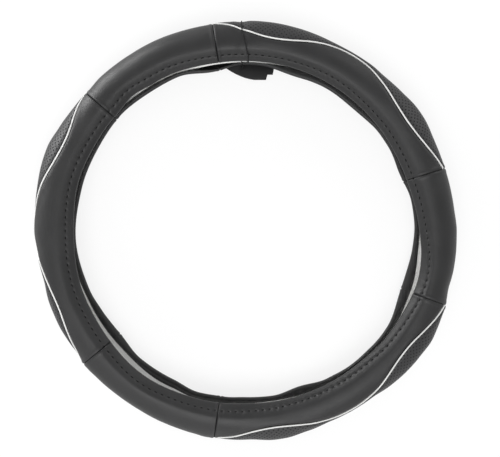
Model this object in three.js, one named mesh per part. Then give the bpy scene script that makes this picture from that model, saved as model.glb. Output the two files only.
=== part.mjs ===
// Sewn steering wheel cover, a soft ring with a C-shaped section that is open towards the hub.
// It lies on its back: millimetres, +Z up, the ring's axis on Z, its rear face on z = 0,
// the top of the wheel towards +Y and the driver's side up.
import * as THREE from "three";

// Driving sizes of the ring and its section
const OVERALL_DIAMETER = 390;
const SECTION_WIDTH = 41;
const SKIN = 2.4;
const LEATHER = 1.2;
const RING_WALL = 1.6;
const REAR_FLAT = 6.5;
const HEM_WIDTH = 8.5;
const HEM_TAIL = 1.5;
const HEM_SLOPE = 2;
const LIP_TURN = THREE.MathUtils.degToRad(50);

// Room that is left between pieces: sewn edges, and the skin over the ring
const CLEARANCE = 0.3;
const SKIN_GAP = 0.9;

// Piping, the course of its wave round the section, and how far it stands proud
const PIPING = 2.4;
const PIPING_PROUD = 1;
const TROUGH_TURN = THREE.MathUtils.degToRad(21);
const WAIST_TURN = THREE.MathUtils.degToRad(61);
const SEAM_TURN = THREE.MathUtils.degToRad(64);
const TROUGH_FROM_MIDDLE = THREE.MathUtils.degToRad(23.7);

// Thumb rests, the two padded lobes of each grip
const LOBE_HALF_LENGTH = THREE.MathUtils.degToRad(20);
const LOBE_HALF_TURN = THREE.MathUtils.degToRad(70);

// How the soft ring lies: slightly out of round, with its front rolled towards one side
const OUT_OF_ROUND = 2.1;
const OUT_OF_ROUND_AT = THREE.MathUtils.degToRad(118);
const FRONT_ROLL = THREE.MathUtils.degToRad(10);
const FRONT_ROLL_AT = THREE.MathUtils.degToRad(228);
const ROLL_FADES_FROM = THREE.MathUtils.degToRad(60);
const ROLL_ENDS_AT = THREE.MathUtils.degToRad(165);

// Tie round the section at the top, and the tab that is threaded on it
const TIE = 1;
const TIE_SINK = 0.3;
const TIE_AT = THREE.MathUtils.degToRad(-1.2);
const PINCH_HALF_LENGTH = THREE.MathUtils.degToRad(2.6);
const TIE_HOP = THREE.MathUtils.degToRad(15);
const TAB_THICKNESS = 1.6;
const TAB_TUCK = 2.5;
const TAB_LEFT = 19;
const TAB_RIGHT = 27;
const TAB_DROP = 13.5;
const TAB_CURVE = 5;
const TAB_NUB = 8;
const TAB_STEP = 5;
const TAB_BEVEL = 1.5;
const TAB_HOLE_ROOM = 0.6;

// Facets: how far a flat may lie inside its true curve, and how far the wave climbs in one step
const SKIN_SAG = 0.29;
const RING_SAG = 0.48;
const AROUND_SAG = 0.5;
const GRIP_AROUND_SAG = 0.21;
const WAVE_STEP = THREE.MathUtils.degToRad(22.5);
const PINCH_KEEP_OFF = THREE.MathUtils.degToRad(3.6);
const FOLD_FACETS = 3;
const PIPING_SIDES = 5;
const TIE_SIDES = 5;
const TIE_PIECES = 56;
const HOLE_FACETS = 12;

// Far less than any facet, for whole numbers of them
const ROUNDING = 1e-9;

// Sewn segments, clockwise from the top: three smooth panels, and three grips with lobes of
// these heights
const SEGMENTS = [
  { name: "upper_right", fromDegrees: -9.2, toDegrees: 72.5, lobes: [1.8, 1.8] },
  { name: "right", fromDegrees: 72.5, toDegrees: 110.4 },
  { name: "lower_right", fromDegrees: 110.4, toDegrees: 188.75, lobes: [3.6, 1.8] },
  { name: "lower_left", fromDegrees: 188.75, toDegrees: 230.7 },
  { name: "left", fromDegrees: 230.7, toDegrees: 310.8, lobes: [1.4, 3.6] },
  { name: "upper_left", fromDegrees: 310.8, toDegrees: 350.8 },
];

// Sizes that follow
const SECTION_RADIUS = SECTION_WIDTH / 2;
const RING_RADIUS = OVERALL_DIAMETER / 2 - SECTION_RADIUS;
const FLAT_TURN = Math.asin(REAR_FLAT / 2 / SECTION_RADIUS);
const CENTRE_HEIGHT = SECTION_RADIUS * Math.cos(FLAT_TURN);
const SKIN_INSIDE = SECTION_RADIUS - SKIN;
const RING_OUTSIDE = SKIN_INSIDE - SKIN_GAP;
const RING_INSIDE = RING_OUTSIDE - RING_WALL;
const RING_MIDDLE = (RING_OUTSIDE + RING_INSIDE) / 2;
const FOLD_INSIDE = RING_WALL / 2 + SKIN_GAP;
const FOLD_OUTSIDE = FOLD_INSIDE + LEATHER;
const HEM_OUTSIDE = RING_MIDDLE + FOLD_OUTSIDE;
const FRONT_LIP = -LIP_TURN;
const REAR_LIP = Math.PI + LIP_TURN;
const RING_LIP_TURN = LIP_TURN - SKIN_GAP / RING_MIDDLE;
const STITCH_TURN = HEM_WIDTH / HEM_OUTSIDE;
const TAIL_TURN = STITCH_TURN + HEM_TAIL / HEM_OUTSIDE;
const SKIN_TURN = STITCH_TURN + HEM_SLOPE / HEM_OUTSIDE;
const EDGE_TURN = (TROUGH_TURN + SEAM_TURN) / 2;
const PIPING_OUT = SECTION_RADIUS + PIPING_PROUD - PIPING / 2;
const EDGE_GAP_TURN = (PIPING / 2 + CLEARANCE) / PIPING_OUT;
const SEAM_HALF_GAP = CLEARANCE / 2 / (RING_RADIUS - SECTION_RADIUS);
const PINCH = TIE + CLEARANCE + TIE_SINK;
const TIE_OFF = CLEARANCE + TIE / 2;
const FACET_TURN = facetTurn(SECTION_RADIUS, SKIN_SAG);
const RING_FACET_TURN = facetTurn(RING_MIDDLE, RING_SAG);
const FACET_AROUND = facetTurn(RING_RADIUS + SECTION_RADIUS, AROUND_SAG);
const GRIP_FACET_AROUND = facetTurn(RING_RADIUS + SECTION_RADIUS, GRIP_AROUND_SAG);

// Materials
const smoothLeather = { color: 0x343436, roughness: 0.5, metalness: 0 };
const perforatedLeather = { color: 0x47474a, roughness: 0.6, metalness: 0 };
const pipingCloth = { color: 0xe4e4e2, roughness: 0.55, metalness: 0 };
const paleRubber = { color: 0xcfcfcd, roughness: 0.8, metalness: 0 };
const blackCord = { color: 0x141414, roughness: 0.7, metalness: 0 };
const blackPlastic = { color: 0x1b1b1c, roughness: 0.6, metalness: 0 };

const cover = new THREE.Group();

// The longest facet of a circle that lies no more than "sag" inside it
function facetTurn(radius, sag) {
  return 2 * Math.acos(1 - sag / radius);
}

function addPiece(name, geometry, finish) {
  geometry.computeVertexNormals();
  const piece = new THREE.Mesh(geometry, new THREE.MeshStandardMaterial(finish));
  piece.name = name;
  cover.add(piece);
}

// A smooth hump: 1 at its middle, 0 at its half length and beyond
function hump(distance, halfLength) {
  const share = Math.min(Math.abs(distance) / halfLength, 1);
  return Math.cos((share * Math.PI) / 2) ** 2;
}

// The shortest way between two angles round the ring
function apart(angle, other) {
  return Math.atan2(Math.sin(angle - other), Math.cos(angle - other));
}

// Sewn segments with their angles, and the middle of each
const segments = SEGMENTS.map((segment) => {
  const from = THREE.MathUtils.degToRad(segment.fromDegrees);
  const to = THREE.MathUtils.degToRad(segment.toDegrees);
  return { ...segment, from, to, middle: (from + to) / 2 };
});
const grips = segments.filter((segment) => segment.lobes);
const smoothPanels = segments.filter((segment) => !segment.lobes);

// How far the front piping of a grip has turned from the front pole: a wave with a trough
// over each lobe, a waist between them and its ends at the seams
function waveTurn(grip, around) {
  const fromMiddle = Math.abs(around - grip.middle);
  if (fromMiddle < TROUGH_FROM_MIDDLE) {
    return THREE.MathUtils.lerp(TROUGH_TURN, WAIST_TURN, hump(fromMiddle, TROUGH_FROM_MIDDLE));
  }
  const seamFromMiddle = (grip.to - grip.from) / 2;
  const toSeam = hump(seamFromMiddle - fromMiddle, seamFromMiddle - TROUGH_FROM_MIDDLE);
  return THREE.MathUtils.lerp(TROUGH_TURN, SEAM_TURN, toSeam);
}

// How far the padding of the lobes lifts the skin
function lobeSwell(around, turn) {
  const acrossLobe = hump(turn - Math.PI / 2, LOBE_HALF_TURN);
  let swell = 0;
  for (const grip of grips) {
    const first = apart(around, grip.middle - TROUGH_FROM_MIDDLE);
    const second = apart(around, grip.middle + TROUGH_FROM_MIDDLE);
    swell += grip.lobes[0] * hump(first, LOBE_HALF_LENGTH) * acrossLobe;
    swell += grip.lobes[1] * hump(second, LOBE_HALF_LENGTH) * acrossLobe;
  }
  return swell;
}

// How far the tight tie presses the skin in, between the two hems
function tiePinch(around, turn) {
  const fromHem = Math.min(turn - FRONT_LIP, REAR_LIP - turn) - STITCH_TURN;
  const between = THREE.MathUtils.smoothstep(fromHem, 0, SKIN_TURN - STITCH_TURN);
  return PINCH * hump(apart(around, TIE_AT), PINCH_HALF_LENGTH) * between;
}

// The place of a point of the cover: "around" is its angle round the ring, clockwise from the
// top, "turn" its angle round the section from the front pole outwards, "out" its distance
// from the middle of the section. Only what lies in the skin or on it swells or is pinched.
function place(around, turn, out) {
  const inSkin = THREE.MathUtils.clamp((out - SKIN_INSIDE) / SKIN, 0, 1);
  const lifted = out + inSkin * (lobeSwell(around, turn) - tiePinch(around, turn));
  const roll = FRONT_ROLL * Math.cos(around - FRONT_ROLL_AT);
  const rolled = turn + roll * (1 - THREE.MathUtils.smoothstep(turn, ROLL_FADES_FROM, ROLL_ENDS_AT));
  const ringRadius = RING_RADIUS + OUT_OF_ROUND * Math.cos(2 * (around - OUT_OF_ROUND_AT));
  const reach = ringRadius + lifted * Math.sin(rolled);
  return new THREE.Vector3(
    reach * Math.sin(around),
    reach * Math.cos(around),
    CENTRE_HEIGHT + lifted * Math.cos(rolled),
  );
}

// A point of the flat section: x outwards, y towards the front
function sectionPoint(out, turn) {
  return new THREE.Vector2(out * Math.sin(turn), out * Math.cos(turn));
}

// The angle of a section point round the section, from under the front lip to under the rear one
function turnOf(x, y) {
  const turn = Math.atan2(x, y);
  return turn < -Math.PI / 2 ? turn + 2 * Math.PI : turn;
}

function evenly(from, to, longest) {
  const pieces = Math.max(1, Math.ceil(Math.abs(to - from) / longest - ROUNDING));
  return Array.from({ length: pieces + 1 }, (_, i) => THREE.MathUtils.lerp(from, to, i / pieces));
}

function arc(out, from, to, longest) {
  return evenly(from, to, longest).map((turn) => sectionPoint(out, turn));
}

// Half a turn of radius "size" round the lip of the ring, from the ring's inside to its outside
function lipArc(lip, side, size) {
  const middle = sectionPoint(RING_MIDDLE, lip);
  return evenly(Math.PI, 0, Math.PI / FOLD_FACETS).map((bend) => {
    const turnedOut = sectionPoint(size * Math.cos(bend), lip);
    const turnedOn = sectionPoint(size * Math.sin(bend), lip + (side * Math.PI) / 2);
    return middle.clone().add(turnedOut).add(turnedOn);
  });
}

// The angles round the ring where a segment has its facets, closer together where the piping
// climbs and under the tie
function stationsOf(segment) {
  const toWaist = Math.abs(WAIST_TURN - TROUGH_TURN) / TROUGH_FROM_MIDDLE;
  const seamFromMiddle = (segment.to - segment.from) / 2;
  const toSeam = Math.abs(SEAM_TURN - TROUGH_TURN) / (seamFromMiddle - TROUGH_FROM_MIDDLE);
  const climb = Math.max(toWaist, toSeam) * (Math.PI / 2);
  const longest = segment.lobes ? Math.min(GRIP_FACET_AROUND, WAVE_STEP / climb) : FACET_AROUND;
  const stations = evenly(segment.from + SEAM_HALF_GAP, segment.to - SEAM_HALF_GAP, longest);
  const pinched = [TIE_AT - PINCH_HALF_LENGTH, TIE_AT, TIE_AT + PINCH_HALF_LENGTH];
  if (pinched[0] <= stations[0] || pinched.at(-1) >= stations.at(-1)) {
    return stations;
  }
  const clear = stations.filter((angle) => Math.abs(apart(angle, TIE_AT)) > PINCH_KEEP_OFF);
  return [...clear, ...pinched].sort((a, b) => a - b);
}

// Bends a straight extrusion of a section outline round the ring, one step to each station.
// "slide" moves a point round the section, so that an edge can follow the wave of the piping.
function bendRound(outline, segment, slide) {
  const stations = stationsOf(segment);
  const steps = stations.length - 1;
  const shape = new THREE.Shape(outline);
  const geometry = new THREE.ExtrudeGeometry(shape, { depth: steps, steps, bevelEnabled: false });
  const position = geometry.attributes.position;
  for (let i = 0; i < position.count; i += 1) {
    const around = stations[Math.round(position.getZ(i))];
    const out = Math.hypot(position.getX(i), position.getY(i));
    const turn = turnOf(position.getX(i), position.getY(i));
    const point = place(around, slide(turn, around), out);
    position.setXYZ(i, point.x, point.y, point.z);
  }
  return geometry;
}

// The hem at a lip, from the tail inside the ring, round the lip and out to the stitching
function hemInside(lip, side) {
  const tail = arc(RING_MIDDLE - FOLD_INSIDE, lip - side * TAIL_TURN, lip, FACET_TURN);
  return [...tail.slice(0, -1), ...lipArc(lip, side, FOLD_INSIDE)];
}

function hemOutside(lip, side) {
  const tail = arc(RING_MIDDLE - FOLD_OUTSIDE, lip - side * TAIL_TURN, lip, FACET_TURN);
  const toStitching = arc(HEM_OUTSIDE, lip, lip - side * STITCH_TURN, FACET_TURN);
  return [...tail.slice(0, -1), ...lipArc(lip, side, FOLD_OUTSIDE), ...toStitching.slice(1)];
}

// The skin's outer face between two angles, with the narrow flat at the rear pole
function outerFace(from, to) {
  const flat = [Math.PI - FLAT_TURN, Math.PI + FLAT_TURN];
  if (to < flat[1]) {
    return arc(SECTION_RADIUS, from, to, FACET_TURN);
  }
  return [
    ...arc(SECTION_RADIUS, from, flat[0], FACET_TURN),
    ...arc(SECTION_RADIUS, flat[1], to, FACET_TURN),
  ];
}

// Smooth panels run from hem to hem, all round the outside of the section
function smoothPanelOutline() {
  const inner = [
    ...hemInside(FRONT_LIP, -1),
    ...arc(SKIN_INSIDE, FRONT_LIP, REAR_LIP, FACET_TURN).slice(1, -1),
    ...hemInside(REAR_LIP, 1).reverse(),
  ];
  const outer = [
    ...hemOutside(FRONT_LIP, -1),
    ...outerFace(FRONT_LIP + SKIN_TURN, REAR_LIP - SKIN_TURN),
    ...hemOutside(REAR_LIP, 1).reverse(),
  ];
  return [...inner, ...outer.reverse()];
}

// Front panels of the grips run from the front hem to the front piping
function frontPanelOutline() {
  const edge = EDGE_TURN - EDGE_GAP_TURN;
  const insideFace = arc(SKIN_INSIDE, FRONT_LIP, edge, FACET_TURN);
  const inner = [...hemInside(FRONT_LIP, -1), ...insideFace.slice(1)];
  const outer = [...hemOutside(FRONT_LIP, -1), ...outerFace(FRONT_LIP + SKIN_TURN, edge)];
  return [...inner, ...outer.reverse()];
}

// Rear panels run from the rear piping to the rear hem
function rearPanelOutline() {
  const edge = Math.PI - EDGE_TURN + EDGE_GAP_TURN;
  const insideFace = arc(SKIN_INSIDE, edge, REAR_LIP, FACET_TURN);
  const inner = [...insideFace.slice(0, -1), ...hemInside(REAR_LIP, 1).reverse()];
  const outer = [...outerFace(edge, REAR_LIP - SKIN_TURN), ...hemOutside(REAR_LIP, 1).reverse()];
  return [...inner, ...outer.reverse()];
}

// Grip panels run round the outside, from piping to piping
function gripPanelOutline() {
  const from = EDGE_TURN + EDGE_GAP_TURN;
  const to = Math.PI - from;
  const insideFace = arc(SKIN_INSIDE, from, to, FACET_TURN);
  return [...insideFace, ...outerFace(from, to).reverse()];
}

// Piping is a round cord at the edge of a panel
function pipingOutline(edge) {
  const middle = sectionPoint(PIPING_OUT, edge);
  return Array.from({ length: PIPING_SIDES }, (_, i) => {
    const angle = (i / PIPING_SIDES) * 2 * Math.PI;
    return sectionPoint(PIPING / 2, angle).add(middle);
  });
}

// How a grip's pieces slide round the section to follow its wave
function slidesOf(grip) {
  const shift = (around) => waveTurn(grip, around) - EDGE_TURN;
  const frontFixed = FRONT_LIP + SKIN_TURN;
  const frontEdge = EDGE_TURN - EDGE_GAP_TURN;
  const share = (turn) => THREE.MathUtils.clamp((turn - frontFixed) / (frontEdge - frontFixed), 0, 1);
  // The rear panel keeps still from the flat at its pole onwards
  const rearFixed = Math.PI - FLAT_TURN;
  const rearEdge = Math.PI - frontEdge;
  const rearShare = (turn) => THREE.MathUtils.clamp((turn - rearFixed) / (rearEdge - rearFixed), 0, 1);
  const fromMiddle = (turn) => (Math.PI / 2 - turn) / (Math.PI / 2 - EDGE_TURN - EDGE_GAP_TURN);
  return {
    frontPanel: (turn, around) => turn + shift(around) * share(turn),
    rearPanel: (turn, around) => turn - shift(around) * rearShare(turn),
    gripPanel: (turn, around) => turn + shift(around) * fromMiddle(turn),
    frontPiping: (turn, around) => turn + shift(around),
    rearPiping: (turn, around) => turn - shift(around),
  };
}

function addSmoothPanel(panel) {
  const still = (turn) => turn;
  const geometry = bendRound(smoothPanelOutline(), panel, still);
  addPiece(`smooth_panel_${panel.name}`, geometry, smoothLeather);
}

function addGrip(grip) {
  const slides = slidesOf(grip);
  const sewn = (kind, outline, slide, finish) => {
    addPiece(`${kind}_${grip.name}`, bendRound(outline, grip, slide), finish);
  };
  sewn("front_panel", frontPanelOutline(), slides.frontPanel, smoothLeather);
  sewn("rear_panel", rearPanelOutline(), slides.rearPanel, smoothLeather);
  sewn("grip_panel", gripPanelOutline(), slides.gripPanel, perforatedLeather);
  sewn("front_piping", pipingOutline(EDGE_TURN), slides.frontPiping, pipingCloth);
  sewn("rear_piping", pipingOutline(Math.PI - EDGE_TURN), slides.rearPiping, pipingCloth);
}

// The pale ring inside: a C-shaped section turned all the way round, its columns moved to the
// stations of the smooth panels and to every other station of the grips
function addInnerRing() {
  const frontLip = -RING_LIP_TURN;
  const rearLip = Math.PI + RING_LIP_TURN;
  const profile = [
    ...arc(RING_OUTSIDE, frontLip, rearLip, RING_FACET_TURN),
    ...lipArc(rearLip, 1, RING_WALL / 2).slice(1, -1).reverse(),
    ...arc(RING_INSIDE, rearLip, frontLip, RING_FACET_TURN),
    ...lipArc(frontLip, -1, RING_WALL / 2).slice(1, -1),
  ];
  profile.push(profile[0].clone());
  const stations = segments.flatMap((segment) => {
    const between = stationsOf(segment).slice(1, -1);
    return [segment.from, ...between.filter((_, i) => !segment.lobes || i % 2 === 1)];
  });
  const fromAxis = profile.map((point) => new THREE.Vector2(RING_RADIUS + point.x, point.y));
  const geometry = new THREE.LatheGeometry(fromAxis, stations.length);
  const position = geometry.attributes.position;
  for (let i = 0; i < position.count; i += 1) {
    const around = stations[Math.floor(i / profile.length) % stations.length];
    const { x, y } = profile[i % profile.length];
    const point = place(around, turnOf(x, y), Math.hypot(x, y));
    position.setXYZ(i, point.x, point.y, point.z);
  }
  addPiece("inner_ring", geometry, paleRubber);
}

// Where the tie and its tab lie behind the rear lip, in the flat section
const rearLipMiddle = sectionPoint(RING_MIDDLE, REAR_LIP);
const lipEdge = rearLipMiddle.x - FOLD_OUTSIDE;
const tieRun = lipEdge - TIE_OFF;
const tabTuckedTo = lipEdge + TAB_TUCK;
const tabTop = -Math.sqrt(HEM_OUTSIDE ** 2 - tabTuckedTo ** 2) - CLEARANCE;
const tabBottom = tabTop - TAB_THICKNESS;

// The tie: close round the outside in the groove that it presses, over the two pipings, round
// the front lip, straight down inside the mouth, through the tab and back under it
function addTie() {
  const grip = grips.find((each) => apart(TIE_AT, each.from) > 0 && apart(each.to, TIE_AT) > 0);
  const edge = grip ? waveTurn(grip, TIE_AT) : EDGE_TURN;
  const below = new THREE.Vector2(tieRun + TIE / 2, tabBottom - CLEARANCE - TIE);
  const tangent = Math.acos((SECTION_RADIUS + TIE_OFF - PINCH) / below.length());
  const leavesSkin = turnOf(below.x, below.y) - tangent;
  const onSkin = evenly(FRONT_LIP + SKIN_TURN, leavesSkin, FACET_TURN / 2).map((turn) => {
    const hop = PIPING_PROUD * (hump(turn - edge, TIE_HOP) + hump(turn - Math.PI + edge, TIE_HOP));
    return place(TIE_AT, turn, SECTION_RADIUS + TIE_OFF + hop);
  });
  const flat = (point) => place(TIE_AT, turnOf(point.x, point.y), point.length());
  const roundLip = lipArc(FRONT_LIP, -1, FOLD_OUTSIDE + TIE_OFF).slice(1).map(flat);
  const alongHem = arc(HEM_OUTSIDE + TIE_OFF, FRONT_LIP, FRONT_LIP + STITCH_TURN, STITCH_TURN / 2);
  const onHem = alongHem.slice(1).map(flat);
  const inMouth = [
    below,
    new THREE.Vector2(tieRun, tabBottom - CLEARANCE),
    new THREE.Vector2(tieRun, tabTop),
    new THREE.Vector2(tieRun, rearLipMiddle.y),
  ].map(flat);
  const loop = new THREE.CatmullRomCurve3([...onSkin, ...inMouth, ...roundLip, ...onHem], true);
  // A closed loop has no open ends
  const geometry = new THREE.TubeGeometry(loop, TIE_PIECES, TIE / 2, TIE_SIDES, true);
  addPiece("tie_cord", geometry, blackCord);
}

// The tab: a flat tongue with its outer edge tucked behind the rear lip and a hole for the tie
function addTab() {
  const atTop = (around, x) => place(around, turnOf(x, tabTop), Math.hypot(x, tabTop));
  const holeAt = atTop(TIE_AT, tieRun);
  const lipReach = Math.hypot(holeAt.x, holeAt.y) + TIE_OFF;
  const leftEnd = -TAB_LEFT / lipReach;
  const rightEnd = TAB_RIGHT / lipReach;
  const outerEdge = evenly(rightEnd, leftEnd, GRIP_FACET_AROUND).map((around) => {
    const point = atTop(around, tabTuckedTo);
    return new THREE.Vector2(point.x, point.y);
  });
  const low = lipReach - TAB_DROP;
  const outline = new THREE.Shape(outerEdge);
  outline.lineTo(-TAB_LEFT, lipReach - TAB_TUCK);
  outline.quadraticCurveTo(-TAB_CURVE, low + TAB_BEVEL, TAB_NUB, low);
  outline.lineTo(TAB_RIGHT - TAB_NUB, low);
  outline.lineTo(TAB_RIGHT - TAB_NUB + TAB_BEVEL, low + TAB_STEP);
  outline.lineTo(TAB_RIGHT - TAB_BEVEL, low + TAB_STEP);
  const hole = new THREE.Path();
  hole.absarc(holeAt.x, holeAt.y, TIE / 2 + TAB_HOLE_ROOM, 0, 2 * Math.PI, true);
  outline.holes.push(hole);
  const extrusion = { depth: TAB_THICKNESS, bevelEnabled: false, curveSegments: HOLE_FACETS / 2 };
  const geometry = new THREE.ExtrudeGeometry(outline, extrusion);
  geometry.translate(0, 0, CENTRE_HEIGHT + tabBottom);
  addPiece("hang_tab", geometry, blackPlastic);
}

addInnerRing();
smoothPanels.forEach(addSmoothPanel);
grips.forEach(addGrip);
addTie();
addTab();

export default cover;
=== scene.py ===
"""A sewn steering wheel cover: leather panels, padded grips, piping, stitches and an inner ring.

The cover lies on its back. Lengths are in metres, +Z is up and +Y the top of the wheel. A place on
it is told by "around", the angle round the ring clockwise from the top, by "turn", the angle round
the section from its front pole outwards, and by "out", the distance from the section's middle.
"""

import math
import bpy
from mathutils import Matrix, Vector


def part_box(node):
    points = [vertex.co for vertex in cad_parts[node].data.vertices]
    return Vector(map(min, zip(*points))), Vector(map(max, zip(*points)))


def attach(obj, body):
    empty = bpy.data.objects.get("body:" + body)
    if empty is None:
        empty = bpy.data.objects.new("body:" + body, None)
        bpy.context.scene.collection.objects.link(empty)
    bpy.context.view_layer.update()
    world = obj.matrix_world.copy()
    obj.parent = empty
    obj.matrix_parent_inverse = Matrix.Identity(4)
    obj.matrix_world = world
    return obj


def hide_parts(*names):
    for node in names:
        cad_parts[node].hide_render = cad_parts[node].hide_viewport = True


bl_info = {
    "name": "Steering wheel cover",
    "version": (1, 0, 0),
    "blender": (4, 5, 0),
    "location": "3D View > Sidebar > Cover",
    "description": "Builds a sewn steering wheel cover with perforated grips, piping and stitches",
    "category": "Object",
}

from collections import namedtuple
from itertools import product

import bmesh
import bpy
from bpy.props import FloatProperty, FloatVectorProperty, IntProperty, PointerProperty
from mathutils import Matrix, Vector, noise

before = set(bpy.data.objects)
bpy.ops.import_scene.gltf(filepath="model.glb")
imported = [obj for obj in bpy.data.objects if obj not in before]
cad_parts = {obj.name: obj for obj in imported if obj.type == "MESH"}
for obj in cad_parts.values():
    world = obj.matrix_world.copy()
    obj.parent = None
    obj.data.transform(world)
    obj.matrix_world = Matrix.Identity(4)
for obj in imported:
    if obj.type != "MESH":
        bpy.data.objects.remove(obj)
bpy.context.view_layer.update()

MM = 0.001

# Places round the ring are in degrees clockwise from the top
SMOOTH_PANELS = {
    "right": (72.5, 110.4),
    "lower_left": (188.75, 230.7),
    "upper_left": (310.8, 350.8),
}

# A grip's ends, the heights of its thumb rests, and the places that its front piping runs through,
# each with its turn: seam, trough, waist, trough, seam
Grip = namedtuple("Grip", "ends thumb_rests piping")
GRIPS = {
    "upper_right": Grip(
        (-9.2, 72.5),
        (1.8 * MM, 1.8 * MM),
        ((-9.2, 80), (8.3, 22.6), (32, 63), (56, 24.5), (72.5, 63)),
    ),
    "lower_right": Grip(
        (110.4, 188.75),
        (3.6 * MM, 1.8 * MM),
        ((110.4, 68), (127.8, 19.3), (149, 54.4), (171.5, 16.6), (188.75, 71)),
    ),
    "left": Grip(
        (230.7, 310.8),
        (1.4 * MM, 3.6 * MM),
        ((230.7, 76), (248.3, 25.7), (270, 74), (295, 21), (310.8, 74)),
    ),
}

# Where the soft lips wander: middle and half length in degrees, and how far outwards in mm
FRONT_LIP_PULLS = (
    (22, 42, 1.9), (70, 18, -1.0), (96, 11, 1.1), (96, 22, 1.8), (108, 18, 4.2), (108, 10, 0.45),
    (125, 16, 2.4), (192, 16, 1.2), (215, 34, 3.0), (214, 20, 1.2), (270, 22, -2.7),
    (298, 18, -1.1), (320, 8, 2.2), (338, 26, 2.0), (350, 22, -1.2), (357, 14, 0.7),
)
REAR_LIP_PULLS = (
    (15, 9, -2.0), (21, 8, -0.9), (30, 30, -1.6), (43, 14, -1.8), (58, 8, -1.0), (69, 11, -3.2),
    (99, 12, -2.0), (110, 14, -4.0), (129, 14, 1.3), (142, 9, 1.1), (161, 10, -3.2),
    (188, 8, 1.3), (197, 9, 2.6), (230.5, 11, -3.2), (240, 10, -2.0), (267, 18, 1.9),
    (300, 16, -1.2), (312, 40, 1.4), (325, 14, -1.1), (348, 12, -4.4),
)

# The same for the front line of stitches, away from its lip, and for the edge turned in at the rear
FRONT_HEM_PULLS = ((30, 14, 1.1), (105, 22, 3.9), (153, 38, -2.5), (215, 13, 1.1), (330, 30, 0.9))
TURNED_IN_PULLS = (
    (97, 12, -1.6), (108, 9, 0.8), (120, 10, 2.2), (188, 18, 3.4), (209, 20, 4.4),
    (255, 10, 1.5), (355, 33, -4.4),
)

# How tightly the stitches gather the leather, over what they do all round
GATHERS = ((25, 20, 0.25), (100, 26, 0.35), (160, 62, 0.8), (322, 20, 0.3))

# Stretches where the leather stands fuller round the outside: ends in degrees, how far in mm
FULLNESS = (
    (346, 42, 1.5), (48, 63, 1.2), (137, 162, -1.0), (163, 178, 1.3), (186.5, 233, 2.5),
    (233, 247, 0.8), (250, 263, -1.5), (264, 299, 1.8), (311, 352, 1.6), (105, 126, 1.9),
    (34, 66, 0.7), (84, 106, 0.9), (178, 195, 1.5), (226, 236, 1.9),
)
FULLNESS_FADE = math.radians(6)
FULLNESS_REACH = math.radians(100)

# How far pulls at a lip reach round the section, and where the tie's pinch starts and deepens
PULL_REACH = math.radians(75)
PINCH_FADE = math.radians(6)
PINCH_DEEPENS = (math.radians(90), math.radians(150))

# Relief of the leather: depths and half widths of its parts, and how long the waves of noise are
RELIEF_REACH = 16 * MM
HEM_GROOVE = (0.2 * MM, 1.3 * MM)
STITCH_DIMPLE = (0.95 * MM, 1.3 * MM)
HEM_GATHER = (0.08 * MM, 3 * MM)
HEM_CREASE = 0.26 * MM
CREASE_REACH_SKIN = 6.5 * MM
CREASE_REACH_HEM = 4 * MM
CREASE_NOISE = (3.4 * MM, 11 * MM)
GATHER_NOISE = 26 * MM
LEAST_GATHER = 0.4
PIPING_DIP_WIDTH = 1.5 * MM
PIPING_DIP = {"edge": 1.7 * MM, "grip": 0.8 * MM}
PUCKER = (0.3 * MM, 5 * MM)
PUCKER_NOISE = (2.9 * MM, 8 * MM, 30 * MM)
PILLOW = (0.35 * MM, 3.2 * MM)
PILLOW_AWAY = 4.5 * MM
SEAM_GROOVE = (0.7 * MM, 0.45 * MM)
SEAM_RIDGE = (0.3 * MM, 1.4 * MM)
SEAM_RIDGE_AWAY = 2 * MM
SLOW_SWELL = (0.42 * MM, 38 * MM)
QUICK_SWELL = (0.1 * MM, 13 * MM)
RESTING_REACH = math.radians(40)

# Finishes: grain cells to the metre, bump depths, and how much the tones of a leather vary
GRAIN_CELLS = 900
GRAIN_WARP_CELLS = 420
GRAIN_WARP = 0.0011
GRAIN_EDGE = 0.22
GRAIN_FINE_CELLS = 3600
GRAIN_FINE_SHARE = 0.35
MOTTLE_CELLS = 34
GRAIN_DEPTH = 0.035 * MM
WEAVE_DEPTH = 0.05 * MM
HOLE_DEPTH = -6.0
HOLE_RIM = (0.58, 0.4)
HOLE_ROW_TURN = math.radians(45)
# Painted shade: the near-black colour of the holes stands for the shade inside them
HOLE_SHADE_COLOUR = (0.004, 0.004, 0.004, 1)
LEATHER_TONES = (0.88, 1.14)
LEATHER_GLOSS = 0.36
SMOOTH_ROUGHNESS = 0.46
PERFORATED_ROUGHNESS = 0.48
HOLE_ROUGHNESS = 0.9
WEAVE_SCALE = (260, 6, 1)
DUST_CELLS = 90

# Matt finishes: the colour's property, roughness, noise cells to the metre, bump depth, gloss
MATT_FINISHES = {
    "Pale rubber": ("ring", 0.7, 1800, 0.06 * MM, 0.5),
    "Black thread": ("thread", 0.85, 3000, 0.08 * MM, 0.1),
    "Black tie": ("cord", 0.7, 2600, 0.08 * MM, 0.2),
    "Black tab": ("tab", 0.55, 1500, 0.05 * MM, 0.2),
}

# Lamps: the name, the property with its watts, its place and its size
LAMPS = (
    ("Key lamp", "key", (-0.95, 0.75, 0.16), (0.9, 0.3)),
    ("Overhead lamp", "top", (-0.1, -0.8, 1.5), (1.4, 0.8)),
    ("Upper right lamp", "back", (0.85, 0.85, 0.5), (0.9, 0.5)),
    ("Lower left lamp", "left", (-0.8, -0.9, 0.5), (0.9, 0.5)),
    ("Low lamp", "low", (0.1, -1.2, 0.25), (0.9, 0.4)),
)
LAMPS_AIM = (0, 0, 0.02)

# The share of the floor's white that is its own light, where it is seen or mirrored
FLOOR_GLOW = 0.8

# The photograph's frame, in pixels, and the ring's middle in it
PHOTO_WIDTH = 500
PHOTO_HEIGHT = 457
RING_CENTRE_X = 246
RING_CENTRE_Y = 231

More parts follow.
